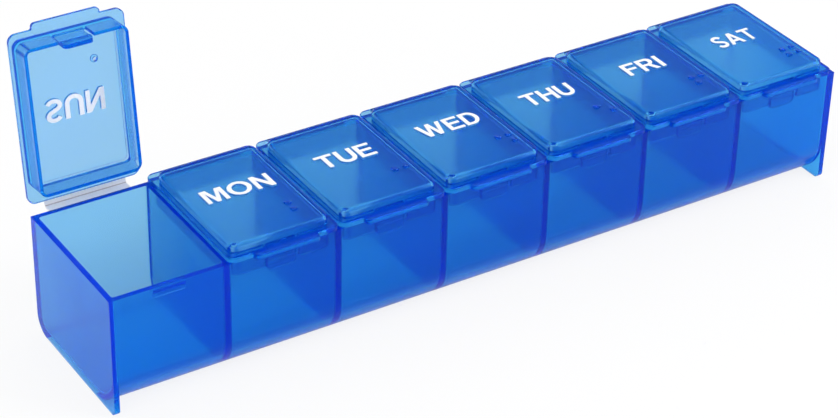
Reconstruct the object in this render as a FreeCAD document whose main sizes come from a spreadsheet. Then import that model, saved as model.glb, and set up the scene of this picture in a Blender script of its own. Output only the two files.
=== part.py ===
import FreeCAD, Part
import math
import os
import re
import Sketcher

# Weekly pill organizer: a clear moulded tray of seven compartments, with a flip lid over each one.
# Every lid hangs on a thin moulded web along the back rim, and the web folds at its crease.
# The origin is the middle of the floor's underside. +X runs along the week, -Y is the front, +Z is up.
# Lids are drawn closed, in a frame whose origin is the middle of their own fold line at rim level.

dayNames = ["sunday", "monday", "tuesday", "wednesday", "thursday", "friday", "saturday"]
openDays = ["sunday"]

# Raised dots of each lid as column and row of a tactile cell: row 0 is nearest the hinge.
dotCells = [
    [(0, 0)],
    [(0, 0), (0, 1)],
    [(0, 0), (1, 0)],
    [(0, 0), (1, 0), (1, 1)],
    [(0, 0), (1, 1)],
    [(0, 0), (0, 1), (1, 0)],
    [(0, 0), (0, 1), (1, 0), (1, 1)],
]

# Driving sizes in millimetres and degrees, with the words that go beside them in the sheet
sizes = [
    ("days", len(dayNames), "compartments in the row"),
    ("pitch", 30.0, "middle of one divider to the middle of the next"),
    ("depth", 41.8, "tray, front face to back face"),
    ("height", 32.4, "tray, floor to rim"),
    ("wall", 1.4, "thickness of the front wall and the back wall"),
    ("floor", 1.4, "thickness of the floor"),
    ("divider", 1.4, "thickness of a divider"),
    ("endPlate", 1.4, "thickness of an end plate"),
    ("scoopRadius", 10.8, "outside, along the front of the floor"),
    ("heelRadius", 4.8, "outside, along the back of the floor"),
    ("footRadius", 1.6, "front corner of an end plate, which stands as a foot"),
    ("cornerRadius", 0.6, "inside corners of a compartment"),
    ("ribWide", 8.4, "catch rib, along the front wall"),
    ("ribStep", 0.35, "catch rib, out of the wall"),
    ("ribDrop", 1.2, "rim to the top of the catch rib"),
    ("ribTall", 2.0, "catch rib, top to bottom"),
    ("lidGap", 0.4, "between the flanges of two lids"),
    ("lift", 0.1, "rim to the underside of a closed flange"),
    ("flangeThick", 1.2, "flange and finger tab"),
    ("frontReach", 0.4, "flange past the front wall"),
    ("backReach", 1.3, "flange past the back wall"),
    ("flangeCorner", 2.0, "corner radius of the flange"),
    ("flangeBevel", 0.25, "bevel along the upper edge of the flange and the tab"),
    ("tabWide", 17.4, "finger tab, along X"),
    ("tabReach", 1.6, "finger tab, out of the flange"),
    ("tabCorner", 1.0, "outer corner radius of the tab"),
    ("tabRoot", 0.5, "corner radius where the tab leaves the flange"),
    ("plugGap", 0.95, "between the skirt and the dividers"),
    ("plugFrontGap", 0.45, "between the skirt and the front wall, enough for the skirt's swing"),
    ("plugBackGap", 0.5, "between the skirt and the back wall"),
    ("plugCorner", 2.2, "corner radius of the skirt and the dome"),
    ("hollowCorner", 0.9, "corner radius inside the skirt and the dome"),
    ("skirtDrop", 4.8, "skirt below the rim"),
    ("skirtWall", 0.85, "thickness of the skirt and of the dome's sides"),
    ("domeRise", 2.2, "dome above the flange"),
    ("domeTop", 1.1, "thickness of the dome's top"),
    ("domeRound", 0.8, "edge radius of the dome"),
    ("ceilingRound", 0.6, "edge radius under the dome"),
    ("tongueWide", 7.6, "latch tongue, along X"),
    ("tongueDrop", 6.6, "latch tongue below the rim"),
    ("tongueThick", 1.0, "latch tongue, front to back"),
    ("tongueSlot", 0.8, "slot in the skirt beside the tongue"),
    ("tongueCorner", 1.2, "lower corner radius of the tongue"),
    ("latchGap", 0.15, "play between the tongue's swing and the catch rib"),
    ("rootDrop", 0.5, "rim to the jog where the tongue steps back"),
    ("rootRun", 0.6, "height of the jog"),
    ("barbStep", 0.55, "neck of the tongue behind its swing circle"),
    ("barbDrop", 4.4, "rim to the crest of the barb"),
    ("barbRun", 0.8, "height of the slope above the crest"),
    ("dotWide", 2.0, "tactile dot, diameter"),
    ("dotRise", 0.5, "tactile dot above the dome"),
    ("dotRound", 0.4, "edge radius of a dot"),
    ("dotPitch", 3.0, "tactile dots, centre to centre"),
    ("dotSide", 7.3, "middle of the lid to the first column of dots"),
    ("dotFront", 12.2, "front of the flange to the first row of dots"),
    ("dimpleWide", 1.2, "hollow under a dot, diameter"),
    ("dotSkin", 0.45, "plastic left over the hollow of a dot"),
    ("hingeBack", 2.5, "back wall to the fold line"),
    ("webWide", 21.4, "hinge web, along X"),
    ("webThick", 0.5, "hinge web where it joins the tray or the lid"),
    ("foldThick", 0.3, "hinge web beside the fold line"),
    ("foldGap", 0.3, "between the two leaves at the fold line"),
    ("leafGap", 0.05, "leaf face to the rim plane, so that closed leaves lie flat on each other"),
    ("openAngle", 97.0, "lid that stands open"),
    ("overrun", 1.0, "cutting tools past the face that they break"),
]

# Places that several features share, as formulas of the sizes
trayLength = "(days * pitch - divider + 2 * endPlate)"
trayFront = "(-depth / 2)"
trayBack = "(depth / 2)"
ground = "(0 * height)"
firstCell = "(-(days - 1) * pitch / 2)"
cellWide = "(pitch - divider)"
flangeHalf = "((pitch - lidGap) / 2)"
flangeFront = "(-(hingeBack + depth + frontReach))"
flangeBack = "(-(hingeBack - backReach))"
plugHalf = "((pitch - divider) / 2 - plugGap)"
plugFront = "(-(hingeBack + depth - wall - plugFrontGap))"
plugBack = "(-(hingeBack + wall + plugBackGap))"
domeLevel = "(lift + flangeThick + domeRise)"
ceilingLevel = "(lift + flangeThick + domeRise - domeTop)"
swingRadius = "(hingeBack + depth - wall - ribStep - latchGap)"

axisX = FreeCAD.Vector(1, 0, 0)
axisY = FreeCAD.Vector(0, 1, 0)
axisZ = FreeCAD.Vector(0, 0, 1)
samePlace = 0.001

doc = FreeCAD.newDocument("PillOrganizer")
sheet = doc.addObject("Spreadsheet::Sheet", "Sizes")
for row, (alias, value, meaning) in enumerate(sizes, start=1):
    sheet.set("A%d" % row, meaning)
    sheet.set("B%d" % row, str(value))
    sheet.setAlias("B%d" % row, alias)
doc.recompute()
aliases = {alias for alias, value, meaning in sizes}


# Formulas and sketches


def bound(formula):
    """The formula with each size's name pointing at its cell."""
    return re.sub(r"[A-Za-z]+", lambda word: "Sizes." * (word.group() in aliases) + word.group(), formula)


def sizeOf(formula):
    return float(sheet.evalExpression(bound(formula)))


def makeBody(label):
    body = doc.addObject("PartDesign::Body", label)
    body.Label = label
    return body


def makeSketch(body, name, role, offset="0 * pitch"):
    """A sketch on one of the body's origin planes, moved along the plane's normal."""
    plane = [feature for feature in body.Origin.OriginFeatures if feature.Role == role][0]
    sketch = body.newObject("Sketcher::SketchObject", name)
    sketch.AttachmentSupport = [(plane, "")]
    sketch.MapMode = "FlatFace"
    sketch.setExpression("AttachmentOffset.Base.z", bound(offset))
    return sketch


def placePoint(sketch, line, point, across, up):
    """Ties a point to the sketch's origin by two bound distances."""
    for kind, formula in (("DistanceX", across), ("DistanceY", up)):
        distance = Sketcher.Constraint(kind, -1, 1, line, point, sizeOf(formula))
        number = sketch.addConstraint(distance)
        sketch.setExpression("Constraints[%d]" % number, bound(formula))


def drawPolygon(sketch, corners):
    """A closed chain of lines through corners, each a pair of formulas."""
    points = [FreeCAD.Vector(sizeOf(across), sizeOf(up), 0) for across, up in corners]
    lines = []
    for number, point in enumerate(points):
        after = points[(number + 1) % len(points)]
        lines.append(sketch.addGeometry(Part.LineSegment(point, after), False))
    for number, line in enumerate(lines):
        after = lines[(number + 1) % len(lines)]
        sketch.addConstraint(Sketcher.Constraint("Coincident", line, 2, after, 1))
    for line, (across, up) in zip(lines, corners):
        placePoint(sketch, line, 1, across, up)


def drawRounded(sketch, corners):
    """An anticlockwise outline along the sketch's axes, whose corners each give a radius or None."""
    spots = [FreeCAD.Vector(sizeOf(across), sizeOf(up), 0) for across, up, radius in corners]
    count = len(corners)
    headings = [(spots[(number + 1) % count] - spots[number]).normalize() for number in range(count)]
    lines = []
    for number, heading in enumerate(headings):
        start = trimCorner(corners[number], heading)
        stop = trimCorner(corners[(number + 1) % count], heading * -1)
        points = [FreeCAD.Vector(sizeOf(across), sizeOf(up), 0) for across, up in (start, stop)]
        lines.append(sketch.addGeometry(Part.LineSegment(*points), False))
        placePoint(sketch, lines[-1], 1, *start)
        if corners[(number + 1) % count][2] is not None:
            placePoint(sketch, lines[-1], 2, *stop)
    for number, (across, up, radius) in enumerate(corners):
        before, after = lines[number - 1], lines[number]
        if radius is None:
            sketch.addConstraint(Sketcher.Constraint("Coincident", before, 2, after, 1))
            continue
        arriving, leaving = headings[number - 1], headings[number]
        size = sizeOf(radius)
        circle = Part.Circle(spots[number] + (leaving - arriving) * size, axisZ, size)
        turnsLeft = arriving.cross(leaving).z > 0
        first = leaving * -1 if turnsLeft else arriving
        angle = math.atan2(first.y, first.x)
        arc = sketch.addGeometry(Part.ArcOfCircle(circle, angle, angle + math.pi / 2), False)
        near, far = (1, 2) if turnsLeft else (2, 1)
        sketch.addConstraint(Sketcher.Constraint("Coincident", before, 2, arc, near))
        sketch.addConstraint(Sketcher.Constraint("Coincident", arc, far, after, 1))
        limit = sketch.addConstraint(Sketcher.Constraint("Radius", arc, size))
        sketch.setExpression("Constraints[%d]" % limit, bound(radius))


def trimCorner(corner, heading):
    """The point where a corner's rounding leaves the line that runs along the heading."""
    across, up, radius = corner
    if radius is None:
        return across, up
    return (
        "%s + %d * %s" % (across, round(heading.x), radius),
        "%s + %d * %s" % (up, round(heading.y), radius),
    )


def drawRectangle(sketch, left, right, low, high, radius=None):
    places = [(left, low), (right, low), (right, high), (left, high)]
    drawRounded(sketch, [(across, up, radius) for across, up in places])


def drawTrough(sketch, front, back, low, frontRadius, backRadius):
    """A section up to the rim whose two lower corners are rounded."""
    corners = [
        (front, low, frontRadius),
        (back, low, backRadius),
        (back, "height", None),
        (front, "height", None),
    ]
    drawRounded(sketch, corners)


def drawCircle(sketch, across, up, diameter):
    centre = FreeCAD.Vector(sizeOf(across), sizeOf(up), 0)
    circle = sketch.addGeometry(Part.Circle(centre, axisZ, sizeOf(diameter) / 2), False)
    placePoint(sketch, circle, 3, across, up)
    number = sketch.addConstraint(Sketcher.Constraint("Diameter", circle, sizeOf(diameter)))
    sketch.setExpression("Constraints[%d]" % number, bound(diameter))


# Features


def addFeature(body, kind, name, sketch, length):
    feature = body.newObject("PartDesign::" + kind, name)
    feature.Profile = sketch
    feature.setExpression("Length", bound(length))
    body.Tip = feature
    doc.recompute()
    return feature


def straightEdges(shape, axis, **place):
    """Names of the straight edges along an axis whose middles lie at the given coordinates."""
    names = []
    for number, edge in enumerate(shape.Edges, start=1):
        if edge.Curve.TypeId != "Part::GeomLine":
            continue
        along = abs(edge.tangentAt(edge.FirstParameter).dot(axis))
        middle = edge.CenterOfMass
        misses = [abs(getattr(middle, key) - sizeOf(formula)) for key, formula in place.items()]
        if round(along) == 1 and all(miss < samePlace for miss in misses):
            names.append("Edge%d" % number)
    return names


def edgesAtLevel(shape, level):
    """Names of all edges that lie flat at a level."""
    names = []
    place = sizeOf(level)
    for number, edge in enumerate(shape.Edges, start=1):
        box = edge.BoundBox
        if abs(box.ZMin - place) < samePlace and abs(box.ZMax - place) < samePlace:
            names.append("Edge%d" % number)
    return names


def roundEdges(body, name, names, radius):
    base = body.Tip
    feature = body.newObject("PartDesign::Fillet", name)
    feature.Base = (base, names)
    feature.setExpression("Radius", bound(radius))
    body.Tip = feature
    doc.recompute()
    return feature


def repeatCells(body, name, feature):
    """Repeats a feature of the first compartment in all of them."""
    axis = [item for item in body.Origin.OriginFeatures if item.Role == "X_Axis"][0]
    pattern = body.newObject("PartDesign::LinearPattern", name)
    pattern.Originals = [feature]
    pattern.Direction = (axis, [""])
    pattern.setExpression("Length", bound("(days - 1) * pitch"))
    pattern.setExpression("Occurrences", bound("days"))
    body.Tip = pattern
    doc.recompute()
    return pattern


# The tray: a trough between two end plates, divided into compartments


def makeTray():
    body = makeBody("tray")
    clearLength = "(days * pitch - divider)"
    plates = [("Left", "-" + trayLength + " / 2"), ("Right", clearLength + " / 2")]
    profile = makeSketch(body, "TroughProfile", "YZ_Plane", "-" + clearLength + " / 2")
    drawTrough(profile, trayFront, trayBack, ground, "scoopRadius", "heelRadius")
    addFeature(body, "Pad", "Trough", profile, clearLength)
    for side, offset in plates:
        outline = makeSketch(body, side + "PlateOutline", "YZ_Plane", offset)
        drawTrough(outline, trayFront, trayBack, ground, "footRadius", "heelRadius")
        addFeature(body, "Pad", side + "Plate", outline, "endPlate")
    hollowCompartments(body)
    addCatchRibs(body)
    return body


def hollowCompartments(body):
    """Cuts the compartments, whose floor is rounded like the outside."""
    innerFront = trayFront + " + wall"
    innerBack = trayBack + " - wall"
    profile = makeSketch(body, "CompartmentProfile", "YZ_Plane", firstCell + " + " + cellWide + " / 2")
    drawTrough(profile, innerFront, innerBack, "floor", "(scoopRadius - wall)", "(heelRadius - wall)")
    cut = addFeature(body, "Pocket", "Compartment", profile, cellWide)
    repeatCells(body, "Compartments", cut)
    corners = straightEdges(body.Tip.Shape, axisZ, y=innerFront)
    corners += straightEdges(body.Tip.Shape, axisZ, y=innerBack)
    roundEdges(body, "CompartmentCorners", corners, "cornerRadius")


def addCatchRibs(body):
    """One rib inside the front wall of each compartment, with a slope that the tongue slides down."""
    face = trayFront + " + wall"
    top = "height - ribDrop"
    bottom = "height - ribDrop - ribTall"
    profile = makeSketch(body, "RibProfile", "YZ_Plane", firstCell + " - ribWide / 2")
    crest = "height - ribDrop - ribTall / 2"
    corners = [(face, top), (face, bottom), (face + " + ribStep", bottom), (face + " + ribStep", crest)]
    drawPolygon(profile, corners)
    rib = addFeature(body, "Pad", "Rib", profile, "ribWide")
    repeatCells(body, "Ribs", rib)


# The lids


def makeLid(label, cells):
    """A flange with a finger tab, a hollow dome with a skirt under it, a latch tongue and dots."""
    body = makeBody(label)
    addFlange(body)
    plug = makeSketch(body, "PlugPlan", "XY_Plane", "-skirtDrop")
    drawRectangle(plug, "-" + plugHalf, plugHalf, plugFront, plugBack, "plugCorner")
    addFeature(body, "Pad", "Plug", plug, domeLevel + " + skirtDrop")
    roundEdges(body, "DomeEdge", edgesAtLevel(body.Tip.Shape, domeLevel), "domeRound")
    hollowLid(body)
    addTongue(body)
    addDots(body, cells)
    return body


def addFlange(body):
    """The flange and the tab are one plate, so one outline draws both."""
    plan = makeSketch(body, "FlangePlan", "XY_Plane", "lift")
    tabHalf = "(tabWide / 2)"
    tabFront = flangeFront + " - tabReach"
    outline = [
        ("-" + flangeHalf, flangeBack, "flangeCorner"),
        ("-" + flangeHalf, flangeFront, "flangeCorner"),
        ("-" + tabHalf, flangeFront, "tabRoot"),
        ("-" + tabHalf, tabFront, "tabCorner"),
        (tabHalf, tabFront, "tabCorner"),
        (tabHalf, flangeFront, "tabRoot"),
        (flangeHalf, flangeFront, "flangeCorner"),
        (flangeHalf, flangeBack, "flangeCorner"),
    ]
    drawRounded(plan, outline)
    flange = addFeature(body, "Pad", "Flange", plan, "flangeThick")
    upper = edgesAtLevel(flange.Shape, "lift + flangeThick")
    bevel = body.newObject("PartDesign::Chamfer", "FlangeBevel")
    bevel.Base = (flange, upper)
    bevel.setExpression("Size", bound("flangeBevel"))
    body.Tip = bevel
    doc.recompute()


def hollowLid(body):
    """Hollows the dome and the skirt, and opens the skirt in front for the tongue."""
    plan = makeSketch(body, "HollowPlan", "XY_Plane", ceilingLevel)
    innerHalf = "(" + plugHalf + " - skirtWall)"
    innerFront = plugFront + " + skirtWall"
    innerBack = plugBack + " - skirtWall"
    drawRectangle(plan, "-" + innerHalf, innerHalf, innerFront, innerBack, "hollowCorner")
    addFeature(body, "Pocket", "Hollow", plan, ceilingLevel + " + skirtDrop + overrun")
    ceiling = edgesAtLevel(body.Tip.Shape, ceilingLevel)
    roundEdges(body, "CeilingEdge", ceiling, "ceilingRound")
    gate = makeSketch(body, "TongueGatePlan", "XY_Plane", "lift")
    gateHalf = "(tongueWide / 2 + tongueSlot)"
    drawRectangle(gate, "-" + gateHalf, gateHalf, plugFront + " - overrun", innerFront + " + overrun")
    addFeature(body, "Pocket", "TongueGate", gate, "lift + skirtDrop + overrun")


def addTongue(body):
    """A tongue that steps back from the skirt and keeps inside the circle that it swings on."""
    neck = "(barbStep - " + swingRadius + ")"
    barb = "(-sqrt(" + swingRadius + " ^ 2 - barbDrop ^ 2))"
    tip = "(-sqrt(" + swingRadius + " ^ 2 - tongueDrop ^ 2))"
    profile = makeSketch(body, "TongueProfile", "YZ_Plane", "-tongueWide / 2")
    corners = [
        (plugFront, "lift"),
        (plugFront, "-rootDrop"),
        (neck, "-(rootDrop + rootRun)"),
        (neck, "-(barbDrop - barbRun)"),
        (barb, "-barbDrop"),
        (tip, "-tongueDrop"),
        (neck + " + tongueThick", "-tongueDrop"),
        (neck + " + tongueThick", "-(rootDrop + rootRun)"),
        (plugFront + " + skirtWall", "lift"),
    ]
    drawPolygon(profile, corners)
    addFeature(body, "Pad", "Tongue", profile, "tongueWide")
    corners = straightEdges(body.Tip.Shape, axisY, z="-tongueDrop")
    roundEdges(body, "TongueCorners", corners, "tongueCorner")


def addDots(body, cells):
    """Raised dots on the dome, each hollow from below."""
    dots = makeSketch(body, "DotPlan", "XY_Plane", domeLevel)
    hollows = makeSketch(body, "DimplePlan", "XY_Plane", domeLevel + " + dotRise - dotSkin")
    for column, row in cells:
        across = "dotSide + %d * dotPitch" % column
        up = flangeFront + " + dotFront - %d * dotPitch" % row
        drawCircle(dots, across, up, "dotWide")
        drawCircle(hollows, across, up, "dimpleWide")
    addFeature(body, "Pad", "Dots", dots, "dotRise")
    crowns = edgesAtLevel(body.Tip.Shape, domeLevel + " + dotRise")
    roundEdges(body, "DotEdges", crowns, "dotRound")
    addFeature(body, "Pocket", "Dimples", hollows, "domeTop + dotRise - dotSkin + overrun")


# The hinge webs: a leaf on the tray and a leaf on the lid, thinner beside the fold


def makeLeaf(label, corners):
    body = makeBody(label)
    profile = makeSketch(body, "LeafProfile", "YZ_Plane", "-webWide / 2")
    drawPolygon(profile, corners)
    addFeature(body, "Pad", "Leaf", profile, "webWide")
    return body


def makeTrayLeaf(label):
    corners = [
        ("-hingeBack", "-leafGap"),
        ("-foldGap / 2", "-leafGap"),
        ("-foldGap / 2", "-leafGap - foldThick"),
        ("-hingeBack", "-leafGap - webThick"),
    ]
    return makeLeaf(label, corners)


def makeLidLeaf(label):
    corners = [
        (flangeBack, "lift"),
        ("-foldGap / 2", "leafGap"),
        ("-foldGap / 2", "leafGap + foldThick"),
        (flangeBack, "lift + webThick"),
    ]
    return makeLeaf(label, corners)


# Assembly


def hingePlace(number, angle):
    """Where a lid's own frame lies: on its fold line, turned open by the angle."""
    across = sizeOf(firstCell + " + %d * pitch" % number)
    point = FreeCAD.Vector(across, sizeOf(trayBack + " + hingeBack"), sizeOf("height"))
    return FreeCAD.Placement(point, FreeCAD.Rotation(axisX, -angle))


parts = [makeTray()]
for number, (day, cells) in enumerate(zip(dayNames, dotCells)):
    angle = sizeOf("openAngle") if day in openDays else 0
    trayLeaf = makeTrayLeaf("web_tray_leaf_" + day)
    trayLeaf.Placement = hingePlace(number, 0)
    lidLeaf = makeLidLeaf("web_lid_leaf_" + day)
    lid = makeLid("lid_" + day, cells)
    lidLeaf.Placement = hingePlace(number, angle)
    lid.Placement = hingePlace(number, angle)
    parts += [trayLeaf, lidLeaf, lid]
doc.recompute()

# Checks before anything is written

for item in doc.Objects:
    if "Invalid" in item.State or "Error" in item.State:
        raise RuntimeError("%s failed: %s" % (item.Label, item.State))
for part in parts:
    if part.Shape.isNull() or not part.Shape.isValid() or len(part.Shape.Solids) != 1:
        raise RuntimeError("%s is not one valid solid" % part.Label)

os.makedirs("parts", exist_ok=True)
for part in parts:
    part.Shape.exportStep("parts/%s.step" % part.Label)
    print(part.Label, "volume %.1f" % part.Shape.Volume)
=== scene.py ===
# Weekly pill organizer in clear blue polypropylene: looks, print, light and camera.
import math

import bpy
from mathutils import Euler, Matrix, Vector


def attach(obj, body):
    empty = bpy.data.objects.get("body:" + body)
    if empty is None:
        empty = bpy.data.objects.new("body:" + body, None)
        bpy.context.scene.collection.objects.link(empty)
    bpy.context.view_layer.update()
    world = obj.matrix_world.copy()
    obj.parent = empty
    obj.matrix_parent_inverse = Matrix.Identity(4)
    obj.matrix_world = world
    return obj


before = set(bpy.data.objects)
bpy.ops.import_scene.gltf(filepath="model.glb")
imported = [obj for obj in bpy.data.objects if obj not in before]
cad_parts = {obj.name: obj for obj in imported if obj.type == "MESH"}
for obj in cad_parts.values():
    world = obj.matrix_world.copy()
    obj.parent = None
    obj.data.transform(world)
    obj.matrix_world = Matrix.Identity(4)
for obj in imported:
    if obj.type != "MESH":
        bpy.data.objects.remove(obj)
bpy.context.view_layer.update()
scene = bpy.context.scene
mm = 0.001
dayNames = ["sunday", "monday", "tuesday", "wednesday", "thursday", "friday", "saturday"]
print("frame loaded:", len(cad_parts), "nodes")


# Colour and node helpers

def toLinear(hexCode):
    channels = [int(hexCode[k:k + 2], 16) / 255 for k in (1, 3, 5)]
    return [c / 12.92 if c <= 0.04045 else ((c + 0.055) / 1.055) ** 2.4 for c in channels] + [1.0]


def addNode(tree, kind, settings=None, values=None, links=None):
    node = tree.nodes.new(kind)
    for name, value in (settings or {}).items():
        setattr(node, name, value)
    for name, value in (values or {}).items():
        node.inputs[name].default_value = value
    for name, source in (links or {}).items():
        tree.links.new(source, node.inputs[name])
    return node


def newMaterial(name):
    material = bpy.data.materials.new(name)
    material.use_nodes = True
    material.node_tree.nodes.clear()
    return material, material.node_tree


# Clear polypropylene, tinted blue and moulded against a polished tool. The tint is in the plastic,
# so one wall looks pale and several walls in line look deep blue. On the tray the front is also coloured
# a deeper blue than the back, as painted shade. The plastic is a little cloudy, and the blue pigment
# in it scatters some light. Its faces carry a faint flow ripple.
tintedPolypropylene = {
    # The tray's second colour, deeper blue at the front, is painted shade, and the fade sets where it begins
    "surface": {"tray": ("#F4FCFF", "#8CE0FF"), "lid": ("#FCFEFF",)},  # the tray: at the back, at the front
    "paintedShadeFade": (20.9, -4.0),  # mm, where the colour of the back ends and that of the front begins
    "tint": "#00EEFF",
    "tintDensity": {"tray": 600.0, "lid": 620.0},  # per metre
    "cloud": "#0064FF",
    "cloudy": 0.2,
    "ior": 1.49,
    "specular": 0.5,
    "specularTint": "#3F93FF",
    "polish": 0.14,
    "scuffed": 0.2,
    "scuffSize": 6.0,  # mm
    "scuffRange": (0.45, 0.75),  # of the noise, from polished to scuffed
    "rippleSize": 9.0,  # mm
    "rippleHeight": 0.02,  # mm
}


def makeTintedPolypropylene(look, part):
    material, tree = newMaterial("tinted_polypropylene_" + part)
    place = addNode(tree, "ShaderNodeTexCoord").outputs["Object"]
    scuffs = addNode(tree, "ShaderNodeTexNoise", values={"Scale": 1 / (look["scuffSize"] * mm), "Detail": 3.0},
                     links={"Vector": place})
    gloss = addNode(tree, "ShaderNodeMapRange",
                    values={"From Min": look["scuffRange"][0], "From Max": look["scuffRange"][1],
                            "To Min": look["polish"], "To Max": look["scuffed"]},
                    links={"Value": scuffs.outputs["Fac"]})
    ripple = addNode(tree, "ShaderNodeTexNoise", values={"Scale": 1 / (look["rippleSize"] * mm), "Detail": 1.0},
                     links={"Vector": place})
    bump = addNode(tree, "ShaderNodeBump", values={"Distance": look["rippleHeight"] * mm, "Strength": 1.0},
                   links={"Height": ripple.outputs["Fac"]})
    shades = [toLinear(shade) for shade in look["surface"][part]]
    plastic = addNode(tree, "ShaderNodeBsdfPrincipled",
                      values={"Base Color": shades[0], "IOR": look["ior"], "Transmission Weight": 1.0,
                              "Specular IOR Level": look["specular"],
                              "Specular Tint": toLinear(look["specularTint"])},
                      links={"Roughness": gloss.outputs["Result"], "Normal": bump.outputs["Normal"]})
    # On the tray the base colour fades to a deeper blue towards the front: painted shade
    if len(shades) == 2:
        depth = addNode(tree, "ShaderNodeSeparateXYZ", links={0: place})
        paintedShadeFade = addNode(tree, "ShaderNodeMapRange",
                       values={"From Min": look["paintedShadeFade"][0] * mm, "From Max": look["paintedShadeFade"][1] * mm},
                       links={"Value": depth.outputs["Y"]})
        shade = addNode(tree, "ShaderNodeMix", settings={"data_type": "RGBA"},
                        values={6: shades[0], 7: shades[1]}, links={0: paintedShadeFade.outputs["Result"]})
        tree.links.new(shade.outputs[2], plastic.inputs["Base Color"])
    sentBack = addNode(tree, "ShaderNodeBsdfDiffuse", values={"Color": toLinear(look["cloud"])})
    sentOn = addNode(tree, "ShaderNodeBsdfTranslucent", values={"Color": toLinear(look["cloud"])})
    cloud = addNode(tree, "ShaderNodeMixShader", values={0: 0.5},
                    links={1: sentBack.outputs["BSDF"], 2: sentOn.outputs["BSDF"]})
    surface = addNode(tree, "ShaderNodeMixShader", values={0: look["cloudy"]},
                      links={1: plastic.outputs["BSDF"], 2: cloud.outputs["Shader"]})
    tint = addNode(tree, "ShaderNodeVolumeAbsorption",
                   values={"Color": toLinear(look["tint"]), "Density": look["tintDensity"][part]})
    addNode(tree, "ShaderNodeOutputMaterial",
            links={"Surface": surface.outputs["Shader"], "Volume": tint.outputs["Volume"]})
    return material


# The same polypropylene coined thin for the hinge. Folding it turns it milky. The grey at the crease
# is painted shade of the fold.
foldedPolypropylene = {
    "leaf": {"surface": "#FFFFFF", "milky": "#F8F8FB"},
    # The crease colours are grey painted shade of the fold
    "creaseShade": {"surface": "#CFC9CC", "milky": "#C2BBBF"},
    "ior": 1.49,
    "polish": 0.3,
    "clear": 0.2,
    "grain": 0.8,  # mm
    "grainHeight": 0.02,  # mm
}


def makeFoldedPolypropylene(look, part):
    material, tree = newMaterial("folded_polypropylene_" + part)
    place = addNode(tree, "ShaderNodeTexCoord").outputs["Object"]
    stress = addNode(tree, "ShaderNodeTexNoise", values={"Scale": 1 / (look["grain"] * mm), "Detail": 4.0},
                     links={"Vector": place})
    colour = addNode(tree, "ShaderNodeMix", settings={"data_type": "RGBA"},
                     values={6: toLinear(look[part]["surface"]), 7: toLinear(look[part]["milky"])},
                     links={0: stress.outputs["Fac"]})
    bump = addNode(tree, "ShaderNodeBump", values={"Distance": look["grainHeight"] * mm},
                   links={"Height": stress.outputs["Fac"]})
    plastic = addNode(tree, "ShaderNodeBsdfPrincipled",
                      values={"IOR": look["ior"], "Roughness": look["polish"],
                              "Transmission Weight": look["clear"]},
                      links={"Base Color": colour.outputs[2], "Normal": bump.outputs["Normal"]})
    addNode(tree, "ShaderNodeOutputMaterial", links={"Surface": plastic.outputs["BSDF"]})
    return material


# White pad printing ink, a thin matt film
padPrint = {
    "ink": "#FBFCFF",
    "polish": 0.5,
    "speckSize": 0.25,  # mm
    "speckHeight": 0.005,  # mm
}


def makePadPrint(look):
    material, tree = newMaterial("pad_print_ink")
    place = addNode(tree, "ShaderNodeTexCoord").outputs["Object"]
    specks = addNode(tree, "ShaderNodeTexNoise", values={"Scale": 1 / (look["speckSize"] * mm)},
                     links={"Vector": place})
    bump = addNode(tree, "ShaderNodeBump", values={"Distance": look["speckHeight"] * mm},
                   links={"Height": specks.outputs["Fac"]})
    ink = addNode(tree, "ShaderNodeBsdfPrincipled",
                  values={"Base Color": toLinear(look["ink"]), "Roughness": look["polish"]},
                  links={"Normal": bump.outputs["Normal"]})
    addNode(tree, "ShaderNodeOutputMaterial", links={"Surface": ink.outputs["BSDF"]})
    return material


trayBlue = makeTintedPolypropylene(tintedPolypropylene, "tray")
lidBlue = makeTintedPolypropylene(tintedPolypropylene, "lid")
paleWeb = makeFoldedPolypropylene(foldedPolypropylene, "leaf")
# painted shade for the crease threads
paintedCreaseShade = makeFoldedPolypropylene(foldedPolypropylene, "creaseShade")
whiteInk = makePadPrint(padPrint)
for name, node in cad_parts.items():
    for slot in node.material_slots:
        slot.material = {"web": paleWeb, "lid": lidBlue}.get(name[:3], trayBlue)
print("materials set")


# Printed day names: plain bold capitals, drawn with the capital height as 1
letterStyle = {"stem": 0.19, "bar": 0.165, "gap": 0.1, "steps": 14}


def arcPoints(middle, radii, start, end):
    steps = letterStyle["steps"]
    turns = [math.radians(start + (end - start) * k / steps) for k in range(steps + 1)]
    return [(middle[0] + radii[0] * math.cos(a), middle[1] + radii[1] * math.sin(a)) for a in turns]


def strokeOutline(spine, half):
    sides = ([], [])
    for k, point in enumerate(spine):
        before, after = spine[max(k - 1, 0)], spine[min(k + 1, len(spine) - 1)]
        along = Vector((after[0] - before[0], after[1] - before[1])).normalized()
        sides[0].append((point[0] - along.y * half, point[1] + along.x * half))
        sides[1].append((point[0] + along.y * half, point[1] - along.x * half))
    return sides[0] + sides[1][::-1]


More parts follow.
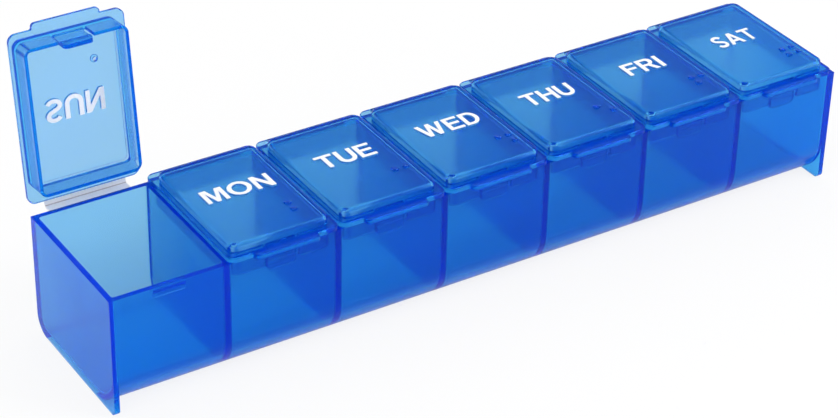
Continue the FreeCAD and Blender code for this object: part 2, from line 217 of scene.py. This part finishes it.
# Each letter is a list of closed outlines, and an outline inside another one is a hole
def letterOutlines():
    stem, bar = letterStyle["stem"], letterStyle["bar"]
    low, high, under = 0.52 - bar / 2, 0.52 + bar / 2, 1 - bar
    bowl = arcPoints((0.38, 0.36), (0.38 - stem / 2, 0.37 - bar / 2), 180, 360)
    upperS = arcPoints((0.35, 0.73), (0.24, 0.197), 20, 235)
    lowerS = arcPoints((0.35, 0.27), (0.255, 0.2), 55, -162)
    return {
        "A": [[(0, 0), (0.34, 1), (0.56, 1), (0.9, 0), (0.69, 0), (0.62, 0.21), (0.28, 0.21), (0.21, 0)],
              [(0.335, 0.37), (0.45, 0.74), (0.565, 0.37)]],
        "D": [[(0, 0), (0, 1)] + arcPoints((0.34, 0.5), (0.42, 0.5), 90, -90),
              [(stem, bar), (stem, under)] + arcPoints((0.34, 0.5), (0.23, 0.5 - bar), 90, -90)],
        "E": [[(0, 0), (0, 1), (0.69, 1), (0.69, under), (stem, under), (stem, high), (0.65, high),
               (0.65, low), (stem, low), (stem, bar), (0.7, bar), (0.7, 0)]],
        "F": [[(0, 0), (0, 1), (0.66, 1), (0.66, under), (stem, under), (stem, high), (0.6, high),
               (0.6, low), (stem, low), (stem, 0)]],
        "H": [[(0, 0), (0, 1), (stem, 1), (stem, high), (0.57, high), (0.57, 1), (0.76, 1), (0.76, 0),
               (0.57, 0), (0.57, low), (stem, low), (stem, 0)]],
        "I": [[(0, 0), (0, 1), (stem, 1), (stem, 0)]],
        "M": [[(0, 0), (0, 1), (0.28, 1), (0.465, 0.34), (0.65, 1), (0.93, 1), (0.93, 0), (0.75, 0),
               (0.75, 0.76), (0.545, 0), (0.385, 0), (0.18, 0.76), (0.18, 0)]],
        "N": [[(0, 0), (0, 1), (0.2, 1), (0.59, 0.34), (0.59, 1), (0.77, 1), (0.77, 0), (0.57, 0),
               (0.18, 0.67), (0.18, 0)]],
        "O": [arcPoints((0.49, 0.5), (0.49, 0.515), 0, 345), arcPoints((0.49, 0.5), (0.29, 0.35), 0, 345)],
        "R": [[(0, 0), (0, 1), (0.46, 1)] + arcPoints((0.46, 0.715), (0.27, 0.285), 80, -60) +
              [(0.56, 0.41), (0.78, 0), (0.56, 0), (0.37, 0.38), (stem, 0.38), (stem, 0)],
              [(stem, 0.54), (stem, under), (0.43, under)] + arcPoints((0.43, 0.69), (0.1, 0.145), 80, -90)],
        "S": [strokeOutline(upperS + lowerS, stem / 2 - 0.005)],
        "T": [[(0, under), (0, 1), (0.76, 1), (0.76, under), (0.475, under), (0.475, 0), (0.285, 0),
               (0.285, under)]],
        "U": [strokeOutline([(stem / 2, 1.0)] + bowl + [(0.76 - stem / 2, 1.0)], stem / 2)],
        "W": [[(0, 1), (0.2, 1), (0.355, 0.3), (0.495, 1), (0.685, 1), (0.825, 0.3), (0.98, 1), (1.18, 1),
               (0.92, 0), (0.725, 0), (0.59, 0.66), (0.455, 0), (0.26, 0)]],
    }


letters = letterOutlines()
dayPrint = {
    "height": 5.8,  # mm, capitals
    "widths": {"sunday": 15.5, "monday": 18.4, "tuesday": 15.4, "wednesday": 17.2, "thursday": 14.9,
               "friday": 11.6, "saturday": 12.9},  # mm
    "front": 23.2,  # mm from the front of the tray to the middle of the letters
    "film": 0.06,  # mm, half of it stands above the face
    # The inner film is a copy of the print on the inside face of the lid, where the real lid has no ink:
    # painted light, so the print looks lit and white from inside
    "depths": {"outer": 0.0, "innerPaintedLight": 1.1},  # mm below the top of the lid
    "shift": {"sunday": (0.9, -1.2)},  # mm across and along the lid
}


def printDay(day, look, label):
    curve = bpy.data.curves.new(label, "CURVE")
    curve.dimensions = "2D"
    curve.fill_mode = "BOTH"
    across, rings = 0.0, []
    for letter in day[:3].upper():
        rings += [[(across + x, y) for x, y in ring] for ring in letters[letter]]
        across = max(x for ring in rings for x, _ in ring) + letterStyle["gap"]
    total = across - letterStyle["gap"]
    wide, tall = look["widths"][day] * mm / total, look["height"] * mm
    for ring in rings:
        spline = curve.splines.new("POLY")
        spline.points.add(len(ring) - 1)
        spline.use_cyclic_u = True
        for point, (x, y) in zip(spline.points, ring):
            point.co = ((x - total / 2) * wide, (y - 0.5) * tall, 0.0, 1.0)
    curve.extrude = look["film"] * mm / 2
    drawn = bpy.data.objects.new("drawn", curve)
    mesh = bpy.data.meshes.new_from_object(drawn)
    bpy.data.objects.remove(drawn)
    mesh.name = label
    mesh.materials.clear()
    mesh.materials.append(whiteInk)
    piece = bpy.data.objects.new(label, mesh)
    scene.collection.objects.link(piece)
    return piece


# Where the moulding has its lids, in mm and degrees
lidSize = {"rim": 32.4, "hinge": 23.4, "front": -20.9, "dome": 3.5, "pitch": 30.0, "open": 97.0}


def foldLine(number):
    return Vector(((number - 3) * lidSize["pitch"], lidSize["hinge"], lidSize["rim"])) * mm


for number, day in enumerate(dayNames):
    along = lidSize["front"] + dayPrint["front"] - lidSize["hinge"]
    turn = Matrix.Rotation(-math.radians(lidSize["open"] if day == "sunday" else 0.0), 4, "X")
    place = Matrix.Translation(foldLine(number)) @ turn
    # Each lid gets its print on top and the painted-light copy inside
    for face, depth in dayPrint["depths"].items():
        piece = printDay(day, dayPrint, "print_" + day + "_" + face)
        right, back = dayPrint["shift"].get(day, (0.0, 0.0))
        spot = Vector((right, along + back, lidSize["dome"] - depth))
        piece.matrix_world = place @ Matrix.Translation(spot * mm)
        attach(piece, "lid_body_" + day)
print("day names printed")


# A grey round thread on the fold line of each web, painted shade of the crease, so that it suits every lid
# angle
creaseThread = {"radius": 0.14, "long": 21.4, "sides": 12}  # mm


def makeCreaseThread(look, label):
    mesh = bpy.data.meshes.new(label)
    sides, half = look["sides"], look["long"] / 2 * mm
    turns = [2 * math.pi * k / sides for k in range(sides)]
    ring = [(look["radius"] * mm * math.cos(a), look["radius"] * mm * math.sin(a)) for a in turns]
    points = [(end, y, z) for end in (-half, half) for y, z in ring]
    walls = [(k, (k + 1) % sides, (k + 1) % sides + sides, k + sides) for k in range(sides)]
    mesh.from_pydata(points, [], walls + [tuple(range(sides))[::-1], tuple(range(sides, 2 * sides))])
    mesh.materials.append(paintedCreaseShade)
    return mesh


for number, day in enumerate(dayNames):
    label = "crease_" + day
    piece = bpy.data.objects.new(label, makeCreaseThread(creaseThread, label))
    piece.matrix_world = Matrix.Translation(foldLine(number))
    scene.collection.objects.link(piece)
    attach(piece, "tray_body")
print("creases added")


# White paper under the object. The camera sees most of it as white, and the plastic shows less of that,
# so the paper keeps the shadow and the walls keep their blue.
whitePaper = {"colour": "#F8F8F8", "whiteSeen": 0.85, "whiteInPlastic": 0.32, "reach": 6.0}  # reach in metres


def makeFloor(look):
    material, tree = newMaterial("white_paper_sweep")
    path = addNode(tree, "ShaderNodeLightPath").outputs
    direct = addNode(tree, "ShaderNodeMath", settings={"operation": "MULTIPLY"}, values={1: look["whiteSeen"]},
                     links={0: path["Is Camera Ray"]})
    bounced = addNode(tree, "ShaderNodeMath", settings={"operation": "MAXIMUM"},
                      links={0: path["Is Glossy Ray"], 1: path["Is Transmission Ray"]})
    faint = addNode(tree, "ShaderNodeMath", settings={"operation": "MULTIPLY"},
                    values={1: look["whiteInPlastic"]}, links={0: bounced.outputs[0]})
    share = addNode(tree, "ShaderNodeMath", settings={"operation": "MAXIMUM"},
                    links={0: direct.outputs[0], 1: faint.outputs[0]})
    glow = addNode(tree, "ShaderNodeEmission", values={"Color": toLinear("#FFFFFF"), "Strength": 1.0})
    paper = addNode(tree, "ShaderNodeBsdfDiffuse", values={"Color": toLinear(look["colour"])})
    both = addNode(tree, "ShaderNodeMixShader",
                   links={0: share.outputs[0], 1: paper.outputs[0], 2: glow.outputs[0]})
    addNode(tree, "ShaderNodeOutputMaterial", links={"Surface": both.outputs[0]})
    return material


reach = whitePaper["reach"]
corners = [(-reach, -reach, 0), (reach, -reach, 0), (reach, reach, 0), (-reach, reach, 0)]
floorMesh = bpy.data.meshes.new("floor")
floorMesh.from_pydata(corners, [], [(0, 1, 2, 3)])
floorMesh.materials.append(makeFloor(whitePaper))
floor = bpy.data.objects.new("floor", floorMesh)
scene.collection.objects.link(floor)

# The room is white at the height of the object and darker overhead, which the gloss shows
whiteRoom = {
    "light": 0.9,  # on the object
    "white": 1.0,  # to the camera and through the plastic
    "darker": 0.75,  # overhead, and only in the gloss
    "darkRange": (0.15, 0.5),  # height of the direction, from white to darker
}
world = bpy.data.worlds.new("white room")
world.use_nodes = True
scene.world = world
tree = world.node_tree
tree.nodes.clear()
path = addNode(tree, "ShaderNodeLightPath").outputs
seen = addNode(tree, "ShaderNodeMath", settings={"operation": "MAXIMUM"},
               links={0: path["Is Camera Ray"], 1: path["Is Glossy Ray"]})
shown = addNode(tree, "ShaderNodeMath", settings={"operation": "MAXIMUM"},
                links={0: seen.outputs[0], 1: path["Is Transmission Ray"]})
room = addNode(tree, "ShaderNodeBackground",
               values={"Color": toLinear("#FFFFFF"), "Strength": whiteRoom["light"]})
heading = addNode(tree, "ShaderNodeTexCoord").outputs["Generated"]
towards = addNode(tree, "ShaderNodeSeparateXYZ", links={0: heading})
overhead = addNode(tree, "ShaderNodeMapRange",
                   values={"From Min": whiteRoom["darkRange"][0], "From Max": whiteRoom["darkRange"][1],
                           "To Min": 0.0, "To Max": whiteRoom["darker"]},
                   links={"Value": towards.outputs["Z"]})
glint = addNode(tree, "ShaderNodeMath", settings={"operation": "SUBTRACT", "use_clamp": True},
                links={0: path["Is Glossy Ray"], 1: path["Is Transmission Ray"]})
dimmed = addNode(tree, "ShaderNodeMath", settings={"operation": "MULTIPLY"},
                 links={0: overhead.outputs["Result"], 1: glint.outputs[0]})
level = addNode(tree, "ShaderNodeMath", settings={"operation": "SUBTRACT"}, values={0: whiteRoom["white"]},
                links={1: dimmed.outputs[0]})
white = addNode(tree, "ShaderNodeBackground", values={"Color": toLinear("#FFFFFF")},
                links={"Strength": level.outputs[0]})
both = addNode(tree, "ShaderNodeMixShader",
               links={0: shown.outputs[0], 1: room.outputs[0], 2: white.outputs[0]})
addNode(tree, "ShaderNodeOutputWorld", links={"Surface": both.outputs[0]})

# Soft boxes, pointed at the middle of the tray: place in metres, side in metres, watts
trayMiddle = Vector((0, 0, 0.02))
lamps = {
    "lamp_top": {"place": (0.5, -0.54, 0.73), "side": 0.3, "watts": 2.4},
    "lamp_left": {"place": (-0.9, -0.4, 0.6), "side": 0.6, "watts": 1.5},
}
for name, lamp in lamps.items():
    light = bpy.data.lights.new(name, "AREA")
    light.energy = lamp["watts"]
    light.size = lamp["side"]
    box = bpy.data.objects.new(name, light)
    box.location = lamp["place"]
    box.rotation_euler = (trayMiddle - Vector(lamp["place"])).to_track_quat("-Z", "Y").to_euler()
    scene.collection.objects.link(box)

# The camera stands where the perspective of the tray and its rim puts it: mm, degrees, mm
view = {"place": (-305.9, -461.1, 363.5), "turn": (57.558, -1.121, -32.005), "lens": 110.7, "sensor": 36.0}
cameraData = bpy.data.cameras.new("camera")
cameraData.sensor_width = view["sensor"]
cameraData.lens = view["lens"]
camera = bpy.data.objects.new("camera", cameraData)
camera.location = Vector(view["place"]) * mm
camera.rotation_euler = Euler([math.radians(a) for a in view["turn"]], "XYZ")
scene.collection.objects.link(camera)
scene.camera = camera
scene.view_settings.view_transform = "Standard"

# Light passes many walls of the tray and its lids before it leaves them
lightPaths = {"max_bounces": 48, "transmission_bounces": 48, "glossy_bounces": 32, "diffuse_bounces": 12,
              "transparent_max_bounces": 24}
for kind, count in lightPaths.items():
    setattr(scene.cycles, kind, count)
print("light and camera set")
